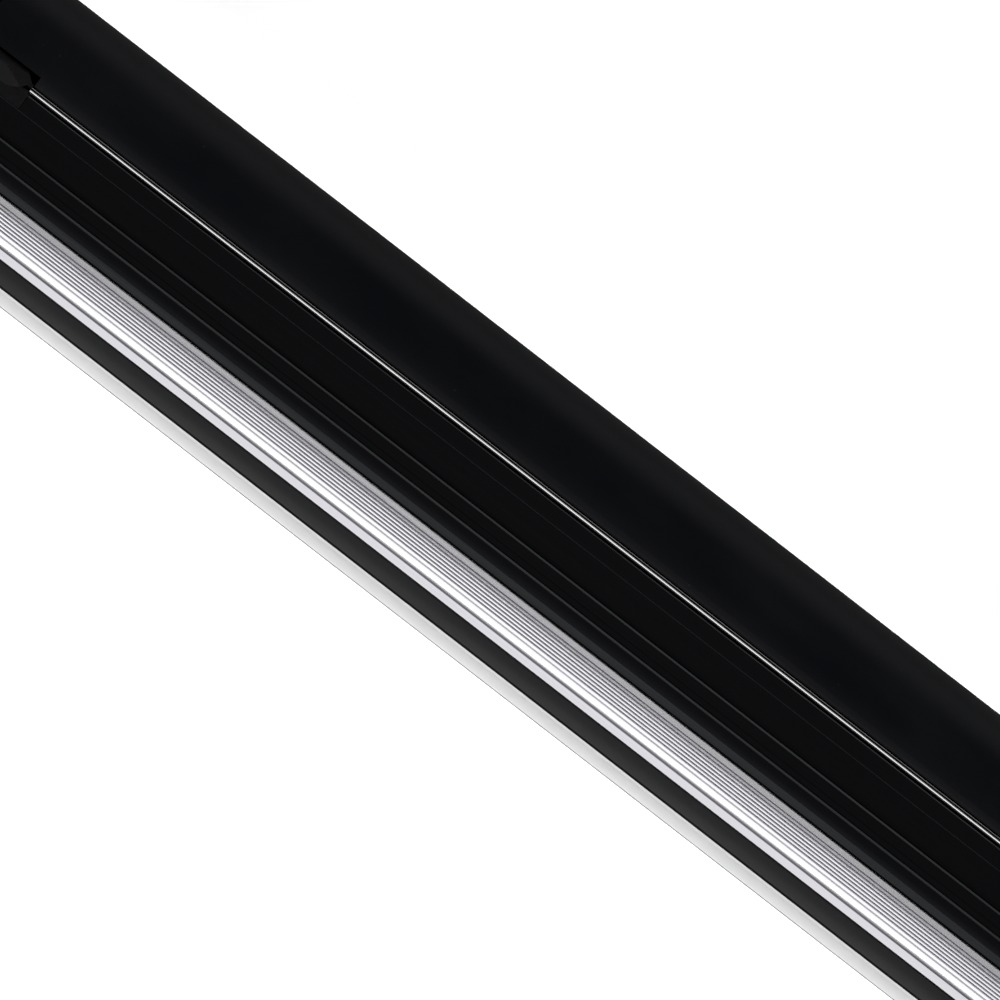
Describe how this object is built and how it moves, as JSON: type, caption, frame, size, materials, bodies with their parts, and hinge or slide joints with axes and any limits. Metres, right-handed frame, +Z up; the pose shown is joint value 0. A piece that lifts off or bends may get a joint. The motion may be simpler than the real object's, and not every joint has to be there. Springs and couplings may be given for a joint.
{
  "type": "led strip batten",
  "caption": "Long straight stage light with a hinged rear cover, a fluted heat sink, a milky diffuser and two tilting floor brackets.",
  "frame": {"origin": "on the floor under the middle of the batten, between the two brackets", "axes": "+X along the batten towards the data outlet end, light leaves towards -Y, +Z up"},
  "size_m": [1, 0.1, 0.1361],
  "materials": {
    "black_anodised": "black anodised extrusion, satin",
    "black_cover": "smooth black lacquer, satin",
    "bright_aluminium": "bright anodised, finely brushed along the length",
    "black_casting": "die casting, fine black powder coat",
    "black_moulding": "moulded, fine grain",
    "button_plastic": "soft-touch dark grey",
    "connector_plastic": "moulded black",
    "polished_steel": "polished stainless",
    "zinc_steel": "zinc plated",
    "powder_coat": "black powder coat",
    "opal_acrylic": "opal, milky, satin",
    "clear_acrylic": "clear, polished",
    "smoked_acrylic": "smoke-tinted, polished",
    "seal_rubber": "black silicone",
    "circuit_board": "white solder mask",
    "led_white": "phosphor",
    "display_black": "dark glass display",
    "transformer_tape": "yellow tape on ferrite",
    "capacitor_sleeve": "shrink sleeve",
    "ferrite": "wound ferrite ring",
    "wire_sleeve": "silicone insulation"
  },
  "bodies": {
    "housing": {"board_screws": "zinc_steel", "body_extrusion": "black_anodised", "connector_screws": "zinc_steel", "control_board": "circuit_board", "control_housing": "black_moulding", "data_inlet": "connector_plastic", "data_outlet": "connector_plastic", "diffuser": "opal_acrylic", "diffuser_gasket": "seal_rubber", "display_module": "display_black", "display_window": "smoked_acrylic", "driver_board": "circuit_board", "driver_inductors": "ferrite", "end_cap_gaskets": "seal_rubber", "end_cap_left": "black_casting", "end_cap_right": "black_casting", "end_cap_screws": "zinc_steel", "heat_sink": "bright_aluminium", "hinge_knuckle": "black_moulding", "hinge_rod_left": "polished_steel", "hinge_rod_right": "polished_steel", "internal_standoffs": "zinc_steel", "led_boards": "circuit_board", "led_chips": "led_white", "led_wires": "wire_sleeve", "lens_array": "clear_acrylic", "mains_wires": "wire_sleeve", "mount_block_left": "black_casting", "mount_block_right": "black_casting", "mount_block_screws": "zinc_steel", "power_inlet": "connector_plastic", "power_outlet": "connector_plastic", "power_supply_board": "circuit_board", "pressure_vent": "connector_plastic", "retainer_strip_bottom": "black_cover", "retainer_strip_top": "black_cover", "safety_eye": "zinc_steel", "supply_capacitors": "capacitor_sleeve", "supply_transformer": "transformer_tape", "thermal_pads": "bright_aluminium"},
    "cover_left": {"rear_cover_left": "black_cover"},
    "cover_right": {"rear_cover_right": "black_cover"},
    "fastener_left_inner": {"cover_fastener_left_inner": "zinc_steel"},
    "fastener_left_outer": {"cover_fastener_left_outer": "zinc_steel"},
    "fastener_right_inner": {"cover_fastener_right_inner": "zinc_steel"},
    "fastener_right_outer": {"cover_fastener_right_outer": "zinc_steel"},
    "button_1": {"menu_button_1": "button_plastic"},
    "button_2": {"menu_button_2": "button_plastic"},
    "button_3": {"menu_button_3": "button_plastic"},
    "button_4": {"menu_button_4": "button_plastic"},
    "release_tab": {"data_outlet_latch": "black_moulding"},
    "tilt_left": {"bracket_left": "powder_coat", "foot_pads_left": "seal_rubber", "pivot_bolt_left": "zinc_steel"},
    "tilt_right": {"bracket_right": "powder_coat", "foot_pads_right": "seal_rubber", "pivot_bolt_right": "zinc_steel"},
    "knob_left": {"clamp_knob_left": "black_moulding"},
    "knob_right": {"clamp_knob_right": "black_moulding"}
  },
  "joints": [
    {"name": "cover_left_hinge", "type": "hinge", "parent": "housing", "child": "cover_left", "pos_m": [-0.25, 0.01315, 0.133], "axis": [1, 0, 0], "range_deg": [0, 100]},
    {"name": "fastener_left_inner_turn", "type": "hinge", "parent": "cover_left", "child": "fastener_left_inner", "pos_m": [-0.09, 0.0387, 0.0995], "axis": [0, 1, 0], "range_deg": [0, 90]},
    {"name": "fastener_left_outer_turn", "type": "hinge", "parent": "cover_left", "child": "fastener_left_outer", "pos_m": [-0.395, 0.0387, 0.0995], "axis": [0, 1, 0], "range_deg": [0, 90]},
    {"name": "tilt_left", "type": "hinge", "parent": "housing", "child": "tilt_left", "pos_m": [-0.43, 0, 0.05], "axis": [-1, 0, 0], "range_deg": [-90, 90]},
    {"name": "knob_left_turn", "type": "hinge", "parent": "tilt_left", "child": "knob_left", "pos_m": [-0.45, 0, 0.05], "axis": [1, 0, 0], "continuous": true},
    {"name": "cover_right_hinge", "type": "hinge", "parent": "housing", "child": "cover_right", "pos_m": [0.25, 0.01315, 0.133], "axis": [1, 0, 0], "range_deg": [0, 100]},
    {"name": "fastener_right_inner_turn", "type": "hinge", "parent": "cover_right", "child": "fastener_right_inner", "pos_m": [0.09, 0.0387, 0.0995], "axis": [0, 1, 0], "range_deg": [0, 90]},
    {"name": "fastener_right_outer_turn", "type": "hinge", "parent": "cover_right", "child": "fastener_right_outer", "pos_m": [0.395, 0.0387, 0.0995], "axis": [0, 1, 0], "range_deg": [0, 90]},
    {"name": "tilt_right", "type": "hinge", "parent": "housing", "child": "tilt_right", "pos_m": [0.43, 0, 0.05], "axis": [-1, 0, 0], "range_deg": [-90, 90]},
    {"name": "knob_right_turn", "type": "hinge", "parent": "tilt_right", "child": "knob_right", "pos_m": [0.45, 0, 0.05], "axis": [1, 0, 0], "continuous": true},
    {"name": "button_1_press", "type": "slide", "parent": "housing", "child": "button_1", "axis": [0, -1, 0], "range_m": [0, 0.0008], "stiffness_N_per_m": 300, "springref_m": -0.001},
    {"name": "button_2_press", "type": "slide", "parent": "housing", "child": "button_2", "axis": [0, -1, 0], "range_m": [0, 0.0008], "stiffness_N_per_m": 300, "springref_m": -0.001},
    {"name": "button_3_press", "type": "slide", "parent": "housing", "child": "button_3", "axis": [0, -1, 0], "range_m": [0, 0.0008], "stiffness_N_per_m": 300, "springref_m": -0.001},
    {"name": "button_4_press", "type": "slide", "parent": "housing", "child": "button_4", "axis": [0, -1, 0], "range_m": [0, 0.0008], "stiffness_N_per_m": 300, "springref_m": -0.001},
    {"name": "release_tab_press", "type": "slide", "parent": "housing", "child": "release_tab", "axis": [-1, 0, 0], "range_m": [0, 0.0012], "stiffness_N_per_m": 500, "springref_m": -0.001}
  ]
}
